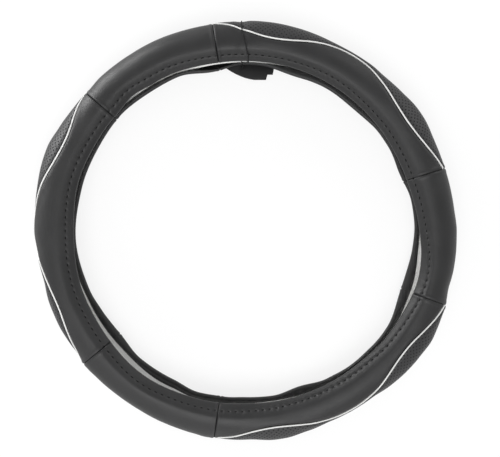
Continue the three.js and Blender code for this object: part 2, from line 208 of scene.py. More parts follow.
# Points closer than SAME_PLACE are one, directions are taken over NUDGE, and FINE_SHARE of a seam
# zone has fine steps only
SAME_PLACE = 0.001 * MM
NUDGE = 0.2 * MM
FINE_SHARE = 0.25

# How many steps the tie takes round the leather, and its knot round itself
TIE_STEPS = 26
KNOT_STEPS = 18

# How far the inner ring ends before the lips
RING_SHORT = 0.9 * MM


def length_size(name, description, default):
    """A length of the cover."""
    return FloatProperty(
        name=name, description=description, default=default, min=0, unit="LENGTH", precision=5
    )


def angle_size(name, description, degrees):
    """An angle of the cover."""
    return FloatProperty(
        name=name, description=description, default=math.radians(degrees), unit="ROTATION"
    )


def colour(name, description, default):
    """A colour of one of the cover's materials."""
    return FloatVectorProperty(
        name=name, description=description, default=default, min=0, max=1, size=3, subtype="COLOR"
    )


class CoverRing(bpy.types.PropertyGroup):
    """Sizes of the ring and its section."""

    overall: length_size("Overall diameter", "Across the ring over its smooth panels", 390 * MM)
    section: length_size("Section width", "Across the section of the soft ring", 41 * MM)
    rear_flat: length_size("Rear flat", "Width of the flat on which the cover lies", 6.5 * MM)
    ring_middle: length_size("Inner ring radius", "Middle of the inner ring's wall", 16.4 * MM)
    ring_wall: length_size("Inner ring wall", "Wall of the pale inner ring", 1.6 * MM)
    lip_turn: angle_size("Lip angle", "How far the lips reach past the poles", 50)
    out_of_round: length_size("Out of round", "How far the soft ring is out of round", 2.1 * MM)
    out_of_round_at: angle_size("Out of round at", "Where the soft ring bulges", 118)
    front_roll: angle_size("Front roll", "How far the front has rolled to one side", 10)
    front_roll_at: angle_size("Front roll at", "Where the front has rolled outwards", 228)
    roll_from: angle_size("Roll fades from", "Section angle where the roll starts to fade", 60)
    roll_to: angle_size("Roll ends at", "Section angle where the roll ends", 165)


class CoverSewing(bpy.types.PropertyGroup):
    """Sizes of the leather, its hems, seams, piping and stitches."""

    leather: length_size("Leather", "Thickness of the leather", 1.2 * MM)
    fold: length_size("Hem fold", "Outer radius of the fold over the lip", 2.9 * MM)
    hem: length_size("Hem width", "From the lip to the line of stitches", 6.4 * MM)
    rise: length_size("Rise", "From the stitches to the full section", 7.6 * MM)
    turned_in: length_size("Turned-in edge", "Leather turned in behind the lip", 0.8 * MM)
    piping: length_size("Piping", "Thickness of the piping", 1.5 * MM)
    piping_proud: length_size("Piping stands proud", "How far the piping stands out", 0.5 * MM)
    lobe_from_middle: angle_size("Thumb rest place", "From mid grip to the thumb rests", 23.7)
    lobe_length: angle_size("Thumb rest length", "Half length round the ring", 20)
    lobe_turn: angle_size("Thumb rest width", "Half width round the section", 70)
    stitch_pitch: length_size("Stitch pitch", "From stitch to stitch along the hems", 6.6 * MM)
    stitch: length_size("Stitch length", "Length of a stitch that shows", 3.4 * MM)
    thread: length_size("Thread", "Thickness of the sewing thread", 1.0 * MM)
    hole_pitch: length_size("Perforation pitch", "From hole to hole on the grips", 3.3 * MM)
    hole: length_size("Perforation", "Width of a hole", 1.4 * MM)


class CoverTie(bpy.types.PropertyGroup):
    """Sizes of the tie round the top and the tab on it."""

    cord: length_size("Tie cord", "Thickness of the tie cord", 1.0 * MM)
    at: angle_size("Tie at", "Where the tie goes round the section", -1.2)
    lean: angle_size("Lean", "How far the tie leans over at the front lip", 2.0)
    knot: length_size("Knot", "Third of the half width of the tie's knot", 0.5 * MM)
    pinch: length_size("Pinch", "How deep the tie presses into the leather in front", 0.9 * MM)
    rear_pinch: length_size("Rear pinch", "How deep the tie presses into it behind", 1.6 * MM)
    pinch_length: angle_size("Pinch length", "Half length of the pressed groove", 2.6)
    hop: angle_size("Hop length", "Half length of the hop over the piping", 15)
    tab_edge: length_size("Tab edge", "Rounding of the tab's edges", 0.35 * MM)


class CoverMesh(bpy.types.PropertyGroup):
    """How finely the pieces are divided."""

    fine: length_size("Fine step", "Between points next to a seam", 0.4 * MM)
    coarse: length_size("Coarse step", "Between points away from seams", 1.25 * MM)
    fold_steps: IntProperty(name="Fold steps", description="Rows round a lip", default=14)
    hem_steps: IntProperty(name="Hem steps", description="Rows across a hem", default=10)
    seam_zone: length_size("Seam zone", "How far fine steps reach from a seam", 7 * MM)
    piping_sides: IntProperty(name="Piping sides", description="Sides of a piping cord", default=10)
    ring_around: IntProperty(name="Ring columns", description="Inner ring, around", default=240)
    ring_across: IntProperty(name="Ring rows", description="Inner ring, across", default=56)


class CoverFinish(bpy.types.PropertyGroup):
    """Colours of the materials."""

    leather: colour("Smooth leather", "Plain black leather", (0.012, 0.012, 0.0124))
    perforated: colour("Perforated leather", "Leather of the grips", (0.0195, 0.0195, 0.0203))
    piping: colour("Piping", "Silver-white piping", (0.66, 0.66, 0.65))
    ring: colour("Inner ring", "Pale rubber of the inner ring", (0.9, 0.9, 0.89))
    thread: colour("Thread", "Black sewing thread", (0.006, 0.006, 0.006))
    cord: colour("Tie cord", "Black tie cord", (0.01, 0.01, 0.01))
    tab: colour("Tab", "Black tab", (0.011, 0.011, 0.0115))


class CoverStudio(bpy.types.PropertyGroup):
    """The camera, the floor and the lamps."""

    distance: length_size("Camera height", "Camera above the middle of the section", 800 * MM)
    scale: FloatProperty(
        name="Pixels per metre", description="Photo scale at mid section", default=1066, min=1
    )
    sensor: FloatProperty(name="Sensor", description="Sensor width in mm", default=36, min=1)
    floor: length_size("Floor", "Width of the floor", 6.0)
    floor_colour: colour("Floor colour", "Pale floor", (0.8, 0.8, 0.8))
    world: FloatProperty(name="World", description="Plain light from all round", default=0.66)
    key: FloatProperty(name="Key", description="Low upper left lamp, in watts", default=16)
    top: FloatProperty(name="Top", description="Overhead lamp, in watts", default=20)
    back: FloatProperty(name="Back", description="Upper right lamp, in watts", default=4)
    left: FloatProperty(name="Left", description="Lower left lamp, in watts", default=2)
    low: FloatProperty(name="Low", description="Low lamp at the bottom, in watts", default=2)


def smoothstep(value, low, high):
    """0 below low, 1 above high and smooth between them."""
    share = min(max((value - low) / (high - low), 0.0), 1.0)
    return share * share * (3 - 2 * share)


def lerp(start, end, share):
    """A value part of the way from start to end."""
    return start + (end - start) * share


def hump(distance, half_length):
    """A smooth hump: 1 at its middle, 0 at its half length and beyond."""
    return math.cos(min(abs(distance) / half_length, 1.0) * math.pi / 2) ** 2


def groove(distance, half_width):
    """A narrow groove or ridge, 1 at its middle."""
    return math.exp(-((distance / half_width) ** 2))


def pulled(pulls, around, unit=MM):
    """The sum of smooth pulls at a place round the ring."""
    total = 0.0
    for middle, half_length, far in pulls:
        total += far * unit * hump(apart(around, math.radians(middle)), math.radians(half_length))
    return total


def filled(stretches, around):
    """The sum of even stretches, which fade at their ends."""
    total = 0.0
    for start, end, far in stretches:
        length = math.radians((end - start) % 360)
        from_start = (around - math.radians(start)) % (2 * math.pi)
        total += far * MM * smoothstep(min(from_start, length - from_start), 0, FULLNESS_FADE)
    return total


def apart(angle, other):
    """The shortest way between two angles round the ring."""
    return math.atan2(math.sin(angle - other), math.cos(angle - other))


def flat_point(out, turn):
    """A point of the flat section: x outwards, y towards the front."""
    return Vector((out * math.sin(turn), out * math.cos(turn)))


def address(point):
    """The turn and the distance out of a point of the flat section."""
    turn = math.atan2(point.x, point.y)
    if turn < -math.pi / 2:
        turn += 2 * math.pi
    return turn, point.length


def steps(length, mesh):
    """Places along a length, closer together next to its ends."""
    places = [0.0]
    while places[-1] < length:
        here = places[-1]
        reach = min(here, length - here) / mesh.seam_zone
        places.append(here + lerp(mesh.fine, mesh.coarse, smoothstep(reach, FINE_SHARE, 1)))
    return [place * length / places[-1] for place in places]


class Form:
    """The soft ring's shape, worked out from the sizes in the panel."""

    def __init__(self, scene):
        """Sizes that follow from those that a user sets."""
        self.ring = scene.cover_ring
        self.sewing = scene.cover_sewing
        self.tie = scene.cover_tie
        self.mesh = scene.cover_mesh
        self.section_radius = self.ring.section / 2
        self.ring_radius = self.ring.overall / 2 - self.section_radius
        flat_turn = math.asin(self.ring.rear_flat / 2 / self.section_radius)
        self.centre_height = self.section_radius * math.cos(flat_turn)
        self.front_lip = -self.ring.lip_turn
        self.rear_lip = math.pi + self.ring.lip_turn
        self.hem_out = self.ring.ring_middle + self.sewing.fold
        self.turned_out = self.ring.ring_middle - self.ring.ring_wall / 2 - self.sewing.leather
        turns = [turn for grip in GRIPS.values() for _, turn in grip.piping]
        self.mean_edge = math.radians(sum(turns) / len(turns))
        self.course = {}

    def wave(self, grip, around):
        """How far a grip's front piping has turned from the front pole."""
        places = [(math.radians(place), math.radians(turn)) for place, turn in GRIPS[grip].piping]
        middle = places[2][0]
        here = middle + apart(around, middle)
        for i, (before, after) in enumerate(zip(places, places[1:])):
            if here < after[0] or i == 3:
                break
        share = min(max((here - before[0]) / (after[0] - before[0]), 0.0), 1.0)
        if i == 0:
            return lerp(after[1], before[1], 1 - math.sin(share * math.pi / 2))
        if i == 3:
            return lerp(before[1], after[1], 1 - math.cos(share * math.pi / 2))
        return lerp(before[1], after[1], (1 - math.cos(share * math.pi)) / 2)

    def lobes(self, around):
        """How far the padding of the thumb rests lifts the leather round the outside."""
        total = 0.0
        for grip in GRIPS.values():
            middle = math.radians(sum(grip.ends) / 2)
            for side, height in zip((-1, 1), grip.thumb_rests):
                away = apart(around, middle + side * self.sewing.lobe_from_middle)
                total += height * hump(away, self.sewing.lobe_length)
        return total

    def course_at(self, around):
        """What depends on the place round the ring alone: lifts, pulls, roll and oval."""
        if around not in self.course:
            ring = self.ring
            self.course[around] = (
                self.lobes(around),
                filled(FULLNESS, around),
                pulled(FRONT_LIP_PULLS, around),
                pulled(REAR_LIP_PULLS, around),
                ring.front_roll * math.cos(around - ring.front_roll_at),
                ring.out_of_round * math.cos(2 * (around - ring.out_of_round_at)),
                hump(apart(around, self.tie.at), self.tie.pinch_length),
            )
        return self.course[around]

    def stitch_turn(self, around, front):
        """The angle round the section from a lip to its line of stitches."""
        wander = pulled(FRONT_HEM_PULLS, around) if front else 0.0
        return (self.sewing.hem + wander) / self.hem_out

    def from_stitches(self, around, turn):
        """The angle from the nearer line of stitches, less than 0 on a hem."""
        from_front = turn - self.front_lip - self.stitch_turn(around, True)
        from_rear = self.rear_lip - turn - self.stitch_turn(around, False)
        return min(from_front, from_rear)

    def place(self, around, turn, out, relief=0.0, soft=1.0):
        """The point of the cover at a place round the ring and the section."""
        lobes, full, front_pull, rear_pull, roll, oval, pinch = self.course_at(around)
        inside = self.section_radius - 2 * self.sewing.leather
        in_skin = min(max((out - inside) / (self.section_radius - inside), 0.0), 1.0)
        lifted = out + relief
        pull = 0.0
        if in_skin > 0:
            lifted += in_skin * lobes * hump(turn - math.pi / 2, self.sewing.lobe_turn)
            pull += in_skin * full * hump(turn - math.pi / 2, FULLNESS_REACH)
            if pinch > 0:
                pressed = smoothstep(self.from_stitches(around, turn), 0, PINCH_FADE)
                behind = smoothstep(turn, *PINCH_DEEPENS)
                deep = lerp(self.tie.pinch, self.tie.rear_pinch, behind)
                lifted -= in_skin * pinch * pressed * deep
        at_front = 1 - smoothstep(turn, self.front_lip, self.front_lip + PULL_REACH)
        at_rear = smoothstep(turn, self.rear_lip - PULL_REACH, self.rear_lip)
        for share, far in ((at_front, front_pull), (at_rear, rear_pull)):
            pull += share * (far if far > 0 else soft * far)
        rolled = turn + roll * (1 - smoothstep(turn, self.ring.roll_from, self.ring.roll_to))
        reach = self.ring_radius + oval + lifted * math.sin(rolled) + pull
        height = self.centre_height + lifted * math.cos(rolled)
        return Vector((reach * math.sin(around), reach * math.cos(around), max(height, 0.0)))

    def frame_at(self, around, turn, out):
        """A point with the directions out of the surface and along the ring there."""
        nudge = 0.1 * MM
        point = self.place(around, turn, out)
        outwards = (self.place(around, turn, out + nudge) - point).normalized()
        along = Vector((math.cos(around), -math.sin(around), 0))
        return point, outwards, along

    def turned_in(self, around, front):
        """How far the leather is turned in behind a lip, less than 0 where it ends on its way."""
        return self.sewing.turned_in + (0.0 if front else pulled(TURNED_IN_PULLS, around))

    def hem_profile(self, around, front):
        """Addresses from a turned-in edge, round the lip and up to the line of stitches."""
        side = -1 if front else 1
        lip = self.front_lip if front else self.rear_lip
        middle = flat_point(self.ring.ring_middle, lip)
        inwards = self.ring.ring_middle - self.turned_out
        bend_length = math.pi * (self.sewing.fold + inwards) / 2
        points = []
        for i in range(self.mesh.fold_steps):
            share = i / self.mesh.fold_steps
            along = lerp(-self.turned_in(around, front), bend_length, share)
            if along < 0:
                points.append((lip + side * along / self.turned_out, self.turned_out))
                continue
            bend = math.pi * (1 - along / bend_length)
            reach = self.sewing.fold if bend < math.pi / 2 else inwards
            across = flat_point(reach * math.cos(bend), lip)
            beyond = flat_point(self.sewing.fold * math.sin(bend), lip + side * math.pi / 2)
            points.append(address(middle + across + beyond))
        stitch_turn = self.stitch_turn(around, front)
        for i in range(self.mesh.hem_steps):
            points.append((lip - side * stitch_turn * i / self.mesh.hem_steps, self.hem_out))
        return points

    def skin_out(self, around, turn):
        """The leather's distance out, which rises from the hems to the full section."""
        rise = smoothstep(self.from_stitches(around, turn), 0, self.sewing.rise / self.hem_out)
        return lerp(self.hem_out, self.section_radius, rise)


def side_turn(turn, front):
    """A turn on the front, or the same place mirrored to the rear."""
    return turn if front else math.pi - turn


def side_name(front):
    """What the names of pieces on the front or the rear start with."""
    return "front" if front else "rear"


def hem_relief(form, around, from_stitch):
    """How the line of stitches gathers the leather."""
    if abs(from_stitch) > RELIEF_REACH:
        return 0.0
    circle = 2 * math.pi * form.ring_radius
    phase = around * round(circle / form.sewing.stitch_pitch)
    along = around * form.ring_radius
    tight = LEAST_GATHER + pulled(GATHERS, around, 1)
    along_noise, away_noise = CREASE_NOISE
    uneven = noise.noise(Vector((along / along_noise, from_stitch / away_noise, 4.2)))
    slow = 1 + 0.9 * noise.noise(Vector((along / GATHER_NOISE, 2.7, 0.3)))
    at_stitch = ((1 - math.cos(phase)) / 2) ** 2
    dimple = -STITCH_DIMPLE[0] * at_stitch * groove(from_stitch, STITCH_DIMPLE[1])
    gather = HEM_GATHER[0] * math.cos(phase) * groove(from_stitch, HEM_GATHER[1])
    reach = CREASE_REACH_SKIN if from_stitch > 0 else CREASE_REACH_HEM
    crease = HEM_CREASE * uneven * groove(from_stitch, reach)
    line = -HEM_GROOVE[0] * groove(from_stitch, HEM_GROOVE[1])
    return line + tight * (dimple + slow * (gather + crease))


def piping_relief(form, around, from_piping, seed, dip):
    """How the leather dips and puckers along the piping."""
    if from_piping > RELIEF_REACH:
        return 0.0
    along = around * form.ring_radius
    quick_along, quick_away, slow_along = PUCKER_NOISE
    uneven = noise.noise(Vector((along / quick_along, from_piping / quick_away, seed)))
    slow = 0.5 + 0.7 * noise.noise(Vector((along / slow_along, seed, 1.1)))
    pucker = PUCKER[0] * uneven * slow * groove(from_piping, PUCKER[1])
    pillow = PILLOW[0] * groove(from_piping - PILLOW_AWAY, PILLOW[1])
    return -dip * groove(from_piping, PIPING_DIP_WIDTH) + pillow + pucker


def seam_relief(from_seam):
    """How two panels turn in where they are sewn end to end."""
    ridge = SEAM_RIDGE[0] * groove(from_seam - SEAM_RIDGE_AWAY, SEAM_RIDGE[1])
    return -SEAM_GROOVE[0] * groove(from_seam, SEAM_GROOVE[1]) + ridge


def broad_relief(form, around, turn):
    """Slow unevenness of soft leather, none where the cover lies on its back."""
    point = form.place(around, turn, form.section_radius)
    slow = noise.noise(point / SLOW_SWELL[1]) * SLOW_SWELL[0]
    quick = noise.noise(point / QUICK_SWELL[1]) * QUICK_SWELL[0]
    resting = hump(turn - math.pi, RESTING_REACH)
    return (slow + quick) * (1 - resting)


def new_object(name, bm, material):
    """Makes a smooth-shaded object of a finished bmesh, riding on the cover's one body."""
    mesh = bpy.data.meshes.new(name)
    bm.to_mesh(mesh)
    bm.free()
    mesh.shade_smooth()
    mesh.materials.append(material)
    piece = bpy.data.objects.new(name, mesh)
    bpy.context.scene.collection.objects.link(piece)
    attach(piece, "root")
    return piece


def bent_grid(columns, rows, point_at, uv_at=None, wrap=False):
    """A grid with each point moved to its place, its meeting edges sewn together if it wraps."""
    bm = bmesh.new()
    uv_layer = bm.loops.layers.uv.new("Surface")
    bmesh.ops.create_grid(bm, x_segments=columns, y_segments=rows, size=1)
    cells = {}
    for vert in bm.verts:
        column = round((vert.co.x + 1) / 2 * columns)
        row = round((vert.co.y + 1) / 2 * rows)
        cells[vert] = (column, row)
    if uv_at is not None:
        for face in bm.faces:
            for loop in face.loops:
                loop[uv_layer].uv = uv_at(*cells[loop.vert])
    for vert, (column, row) in cells.items():
        vert.co = point_at(column, row)
    if wrap:
        bmesh.ops.remove_doubles(bm, verts=bm.verts, dist=SAME_PLACE)
    bm.normal_update()
    return bm


def face_outwards(bm, form, inwards=False):
    """Turns an open skin's faces away from the middle of the section, or towards it."""
    faces = list(bm.faces)
    total = 0.0
    for face in faces[:: max(1, len(faces) // 40)]:
        centre = face.calc_center_median()
        middle = Vector((centre.x, centre.y, 0)).normalized() * form.ring_radius
        middle.z = form.centre_height
        total += face.normal.dot(centre - middle)
    if (total < 0) != inwards:
        bmesh.ops.reverse_faces(bm, faces=faces)


def add_wall(piece, thickness):
    """Gives a skin its thickness, away from the side that its faces point to."""
    wall = piece.modifiers.new("Wall", "SOLIDIFY")
    wall.thickness = thickness
    wall.offset = -1
    wall.use_quality_normals = True


def stations(form, start, end):
    """Angles round the ring for a panel's columns, closer together at its seams."""
    length = math.radians(end - start) * form.ring_radius
    along = steps(length, form.mesh)
    return [math.radians(start) + place / form.ring_radius for place in along]


def from_seam(form, arounds, around):
    """The distance to a panel's nearer end."""
    return min(around - arounds[0], arounds[-1] - around) * form.ring_radius


def shares(form, start, end):
    """Shares of the way across a panel, closer together next to its edges."""
    along = steps((end - start) * form.section_radius, form.mesh)
    return [place / along[-1] for place in along]


def across(form, around, start, end, parts):
    """Addresses on the leather from one section angle to another."""
    turns = [lerp(start, end, part) for part in parts]
    return [(turn, form.skin_out(around, turn)) for turn in turns]


def panel_bmesh(form, arounds, lines, relief_at):
    """A leather panel: one line of addresses for each angle round the ring, with its relief."""
    outer = form.ring_radius + form.section_radius

    def point_at(column, row):
        turn, out = lines[column][row]
        around = arounds[column]
        on_outside = smoothstep(out, form.ring.ring_middle, form.hem_out)
        seam = seam_relief(from_seam(form, arounds, around))
        relief = on_outside * (seam + relief_at(around, turn)) if on_outside > 0 else 0.0
        soft = smoothstep(out, form.turned_out, form.ring.ring_middle)
        return form.place(around, turn, out, relief, soft)

    def uv_at(column, row):
        turn = lines[column][row][0]
        return arounds[column] * outer, (turn - math.pi / 2) * form.section_radius

    bm = bent_grid(len(arounds) - 1, len(lines[0]) - 1, point_at, uv_at)
    face_outwards(bm, form)
    return bm


def skin_relief(form, around, turn):
    """The relief that every outer panel has: gathered hems and slow unevenness."""
    from_stitch = form.from_stitches(around, turn) * form.hem_out
    skin = smoothstep(from_stitch, 0, form.sewing.hem)
    gathered = hem_relief(form, around, from_stitch)
    return gathered + skin * broad_relief(form, around, turn)


def new_leather(form, name, node, slot, arounds, lines, relief_at, material):
    """A leather panel with its wall, which stands for its CAD node."""
    bm = panel_bmesh(form, arounds, lines, relief_at)
    piece = new_object(name, bm, material)
    add_wall(piece, form.sewing.leather)
    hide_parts(node)
    return piece


def build_smooth_panel(form, name, material):
    """A smooth panel, from hem to hem round the whole section."""
    arounds = stations(form, *SMOOTH_PANELS[name])
    parts = shares(form, form.front_lip, form.rear_lip)
    lines = []
    for around in arounds:
        start = form.front_lip + form.stitch_turn(around, True)
        end = form.rear_lip - form.stitch_turn(around, False)
        skin = across(form, around, start, end, parts)
        rear_hem = form.hem_profile(around, front=False)[::-1]
        lines.append(form.hem_profile(around, front=True) + skin + rear_hem)

    def relief_at(around, turn):
        return skin_relief(form, around, turn)

    names = (f"smooth_leather_{name}", f"smooth_panel_{name}", "smooth_leather")
    piece = new_leather(form, *names, arounds, lines, relief_at, material)


def build_edge_panel(form, grip, front, material):
    """The smooth panel of a grip between a hem and its piping, on the front or the rear."""
    arounds = stations(form, *GRIPS[grip].ends)
    parts = shares(form, form.front_lip, form.mean_edge)
    seed = 1.7 if front else 8.3
    lines = []
    for around in arounds:
        start = side_turn(form.front_lip + form.stitch_turn(around, front), front)
        end = side_turn(form.wave(grip, around), front)
        skin = across(form, around, start, end, parts)
        lines.append(form.hem_profile(around, front) + skin)

    def relief_at(around, turn):
        away = (form.wave(grip, around) - side_turn(turn, front)) * form.section_radius
        dipped = piping_relief(form, around, away, seed, PIPING_DIP["edge"])
        return skin_relief(form, around, turn) + dipped

    side = side_name(front)
    names = (f"{side}_leather_{grip}", f"{side}_panel_{grip}", "smooth_leather")
    piece = new_leather(form, *names, arounds, lines, relief_at, material)


def build_grip(form, grip, material):
    """The padded, perforated panel of a grip, from piping to piping."""
    arounds = stations(form, *GRIPS[grip].ends)
    parts = shares(form, form.mean_edge, math.pi - form.mean_edge)
    lines = []
    for around in arounds:
        edge = form.wave(grip, around)
        lines.append(across(form, around, edge, math.pi - edge, parts))

    def relief_at(around, turn):
        edge = form.wave(grip, around)
        away = min(turn - edge, math.pi - edge - turn) * form.section_radius
        dipped = piping_relief(form, around, away, 5.1, PIPING_DIP["grip"])
        return skin_relief(form, around, turn) + dipped

    names = (f"perforated_grip_{grip}", f"grip_panel_{grip}", "perforated_leather")
    piece = new_leather(form, *names, arounds, lines, relief_at, material)


def tube_bmesh(frames, radius, sides):
    """A closed tube through frames, each a point with two directions across the tube."""

    def point_at(column, row):
        point, first, second = frames[column]
        angle = 2 * math.pi * row / sides
        return point + radius * (math.cos(angle) * first + math.sin(angle) * second)

    def uv_at(column, row):
        return column / (len(frames) - 1), row / sides

    bm = bent_grid(len(frames) - 1, sides, point_at, uv_at, wrap=True)
    bmesh.ops.holes_fill(bm, edges=[edge for edge in bm.edges if edge.is_boundary])
    bmesh.ops.recalc_face_normals(bm, faces=bm.faces)
    return bm


def build_piping(form, grip, front, material):
    """A piping cord in the seam along one edge of a grip."""
    sewing = form.sewing
    arounds = stations(form, *GRIPS[grip].ends)
    out = form.section_radius + sewing.piping_proud - sewing.piping / 2
    nudge = NUDGE / form.ring_radius
    frames = []
    for around in arounds:
        turn = side_turn(form.wave(grip, around), front)
        relief = 0.8 * seam_relief(from_seam(form, arounds, around))
        relief += broad_relief(form, around, turn)
        point = form.place(around, turn, out, relief)
        point.z = max(point.z, sewing.piping / 2)
        beyond = form.place(around, turn, out + sewing.piping, relief)
        ahead_turn = side_turn(form.wave(grip, around + nudge), front)
        tangent = form.place(around + nudge, ahead_turn, out) - form.place(around, turn, out)
        outwards = (beyond - point).normalized()
        aside = tangent.normalized().cross(outwards).normalized()
        frames.append((point, outwards, aside))
    bm = tube_bmesh(frames, sewing.piping / 2, form.mesh.piping_sides)
    side = side_name(front)
    piece = new_object(f"{side}_cord_{grip}", bm, material)
    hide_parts(f"{side}_piping_{grip}")


def build_stitches(form, front, material):
    """The running stitches of one hem, sunk in the groove that they pull."""
    sewing = form.sewing
    count = round(2 * math.pi * form.ring_radius / sewing.stitch_pitch)
    bm = bmesh.new()
    for i in range(count):
        around = 2 * math.pi * (i + 0.5) / count
        turn = side_turn(form.front_lip + form.stitch_turn(around, front), front)
        relief = hem_relief(form, around, 0)
        point, outwards, along = form.frame_at(around, turn, form.hem_out + relief)
        aside = along.cross(outwards)
        size = Matrix((along * sewing.stitch, aside * sewing.thread, outwards * sewing.thread))
        place = Matrix.Translation(point + outwards * sewing.thread * 0.1)
        shape = place @ size.transposed().to_4x4()
        bmesh.ops.create_uvsphere(bm, u_segments=8, v_segments=5, radius=0.5, matrix=shape)
    bmesh.ops.recalc_face_normals(bm, faces=bm.faces)
    new_object(f"{side_name(front)}_hem_stitches", bm, material)


def build_inner_ring(form, material):
    """The pale ring that grips the wheel, seen inside the mouth."""
    ring, mesh = form.ring, form.mesh
    inside = ring.ring_middle - ring.ring_wall / 2
    first = form.front_lip + RING_SHORT / ring.ring_middle

    def point_at(column, row):
        around = 2 * math.pi * column / mesh.ring_around
        bare = min(form.turned_in(around, front=False), 0.0)
        last = form.rear_lip - max(RING_SHORT + 0.4 * bare, 0.0) / ring.ring_middle
        return form.place(around, lerp(first, last, row / mesh.ring_across), inside, soft=0.0)

    bm = bent_grid(mesh.ring_around, mesh.ring_across, point_at, wrap=True)
    face_outwards(bm, form, inwards=True)
    piece = new_object("pale_inner_ring", bm, material)
    add_wall(piece, ring.ring_wall)
    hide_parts("inner_ring")


def across_top(tie, reach, height):
    """A point at the tie's place round the ring."""
    return Vector((reach * math.sin(tie.at), reach * math.cos(tie.at), height))


def tie_route(form):
    """Points of the tie: round the leather, over the front lip and down through the tab."""
    ring, tie = form.ring, form.tie
    off = 0.75 * tie.cord
    low, high = (corner.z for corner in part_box("hang_tab"))
    inner_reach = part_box("tie_cord")[0].y + tie.cord / 2
    first = form.front_lip + form.stitch_turn(tie.at, True)
    start = first + math.radians(4)
    end = form.rear_lip - form.stitch_turn(tie.at, False) - math.radians(8)
    edge = form.wave("upper_right", tie.at)
    points = []
    for i in range(TIE_STEPS + 1):
        turn = lerp(start, end, i / TIE_STEPS)
        hop = hump(turn - edge, tie.hop) + hump(turn - math.pi + edge, tie.hop)
        out = form.section_radius + off + form.sewing.piping_proud * hop
        lean = tie.lean * (1 - smoothstep(turn, form.front_lip, math.radians(50)))
        points.append(form.place(tie.at + lean, turn, out))
    points.append(across_top(tie, inner_reach + tie.cord, low - tie.cord))
    for height in (low, high, form.centre_height - ring.ring_middle * math.cos(ring.lip_turn)):
        points.append(across_top(tie, inner_reach, height))
    middle = flat_point(ring.ring_middle, form.front_lip)
    reach = form.sewing.fold + off
    for bend in (150, 120, 90, 60, 30, 0):
        bend = math.radians(bend)
        outwards = flat_point(reach * math.cos(bend), form.front_lip)
        beyond = flat_point(reach * math.sin(bend), form.front_lip - math.pi / 2)
        lean = tie.lean * (1 - smoothstep(bend, math.radians(60), math.radians(150)))
        points.append(form.place(tie.at + lean, *address(middle + outwards + beyond)))
    for share in (0.35, 0.7, 1):
        turn = lerp(form.front_lip, first, share)
        points.append(form.place(tie.at + tie.lean, turn, form.hem_out + off))
    return points


def knot_route(form):
    """Points of the knot that holds the tie on the tab, a trefoil."""
    tie = form.tie
    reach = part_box("tie_cord")[0].y + tie.cord / 2
    middle = across_top(tie, reach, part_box("hang_tab")[1].z + tie.knot + tie.cord / 2)
    points = []
    for i in range(KNOT_STEPS):
        part = 2 * math.pi * i / KNOT_STEPS
        over = math.sin(part) + 2 * math.sin(2 * part)
        aside = math.cos(part) - 2 * math.cos(2 * part)
        points.append(middle + tie.knot * Vector((over, aside, -math.sin(3 * part))))
    return points


def build_tie(form, material):
    """The thin black tie, a smooth closed loop round the section at the top, and its knot."""
    curve = bpy.data.curves.new("tie_loop", "CURVE")
    curve.dimensions = "3D"
    curve.resolution_u = 4
    curve.bevel_depth = form.tie.cord / 2
    curve.bevel_resolution = 2
    for points in (tie_route(form), knot_route(form)):
        spline = curve.splines.new("BEZIER")
        spline.bezier_points.add(len(points) - 1)
        for bezier, point in zip(spline.bezier_points, points):
            bezier.co = point
            bezier.handle_left_type = "AUTO"
            bezier.handle_right_type = "AUTO"
        spline.use_cyclic_u = True
    curve.materials.append(material)
    piece = bpy.data.objects.new("tie_loop", curve)
    bpy.context.scene.collection.objects.link(piece)
    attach(piece, "root")
    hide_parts("tie_cord")


def build_tab(form, material):
    """The tab on the tie, with its edges rounded."""
    bm = bmesh.new()
    bm.from_mesh(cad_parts["hang_tab"].data)
    bmesh.ops.remove_doubles(bm, verts=bm.verts, dist=SAME_PLACE)
    flat = math.radians(1)
    bmesh.ops.dissolve_limit(bm, angle_limit=flat, verts=list(bm.verts), edges=list(bm.edges))
    sharp = [e for e in bm.edges if e.calc_face_angle(0) > math.radians(60)]
    bmesh.ops.bevel(
        bm,
        geom=sharp,
        offset=form.tie.tab_edge,
        offset_type="OFFSET",
        affect="EDGES",
        segments=2,
        profile=0.5,
        material=-1,
        clamp_overlap=True,
    )
    bmesh.ops.triangulate(bm, faces=bm.faces)
    piece = new_object("black_tab", bm, material)
    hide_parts("hang_tab")


def add_node(tree, kind, inputs=None, **settings):
    """Adds a node with its settings, its plain values and its links."""
    node = tree.nodes.new(kind)
    for name, value in settings.items():
        setattr(node, name, value)
    for socket, value in (inputs or {}).items():
        if isinstance(value, bpy.types.NodeSocket):
            tree.links.new(value, node.inputs[socket])
        else:
            node.inputs[socket].default_value = value
    return node


def new_group(name, inputs, outputs):
    """An empty shader node group with named inputs and outputs."""
    group = bpy.data.node_groups.new(name, "ShaderNodeTree")
    for label, kind in inputs:
        group.interface.new_socket(label, in_out="INPUT", socket_type=kind)
    for label in outputs:
        group.interface.new_socket(label, in_out="OUTPUT", socket_type="NodeSocketFloat")
    return group, group.nodes.new("NodeGroupInput").outputs


def math_node(tree, operation, *values):
    """A number worked out from others."""
    inputs = dict(enumerate(values))
    return add_node(tree, "ShaderNodeMath", inputs, operation=operation).outputs[0]


def vector_node(tree, operation, *values, **named):
    """A vector worked out from others, or its length."""
    inputs = {**dict(enumerate(values)), **named}
    outputs = add_node(tree, "ShaderNodeVectorMath", inputs, operation=operation).outputs
    return outputs["Value"] if operation == "LENGTH" else outputs["Vector"]


def noise_node(tree, vector, scale, detail, output="Fac"):
    """Noise at a place, with so many cells to the metre."""
    inputs = {"Vector": vector, "Scale": scale, "Detail": detail}
    return add_node(tree, "ShaderNodeTexNoise", inputs).outputs[output]


